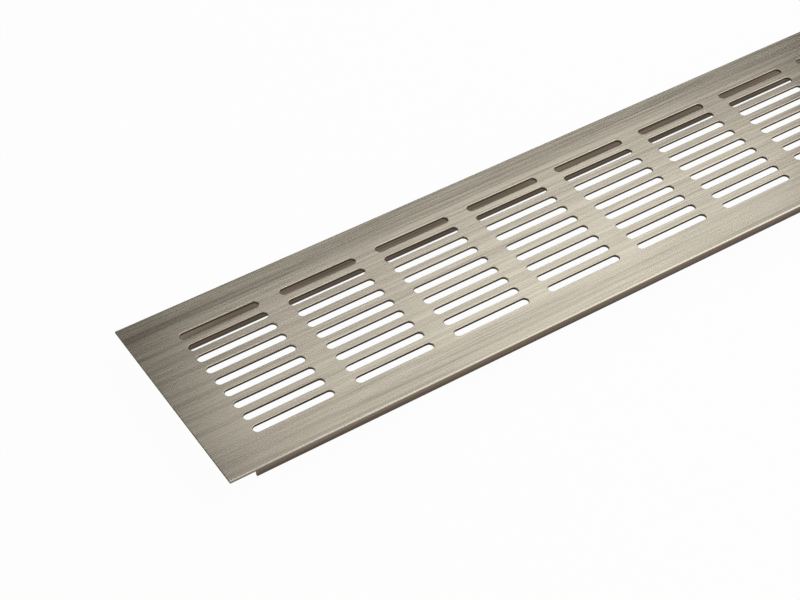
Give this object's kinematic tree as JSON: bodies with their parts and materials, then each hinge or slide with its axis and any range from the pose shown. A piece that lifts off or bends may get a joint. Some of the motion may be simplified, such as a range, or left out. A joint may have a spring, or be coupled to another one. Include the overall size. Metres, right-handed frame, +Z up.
{
  "type": "ventilation grille",
  "caption": "Long flat ventilation grille with rows of round-ended slots, and set-in legs below that locate it in a worktop or plinth cut-out.",
  "frame": {"origin": "under the middle of the plate, level with the tips of the legs", "axes": "+X along the plate's length, +Y across the plate, +Z up and out of the plate's visible face"},
  "size_m": [0.5, 0.08, 0.0146],
  "materials": {
    "brushed_metal": "brushed along the length, warm nickel grey, satin"
  },
  "bodies": {
    "root": {"grille": "brushed_metal"}
  },
  "joints": []
}
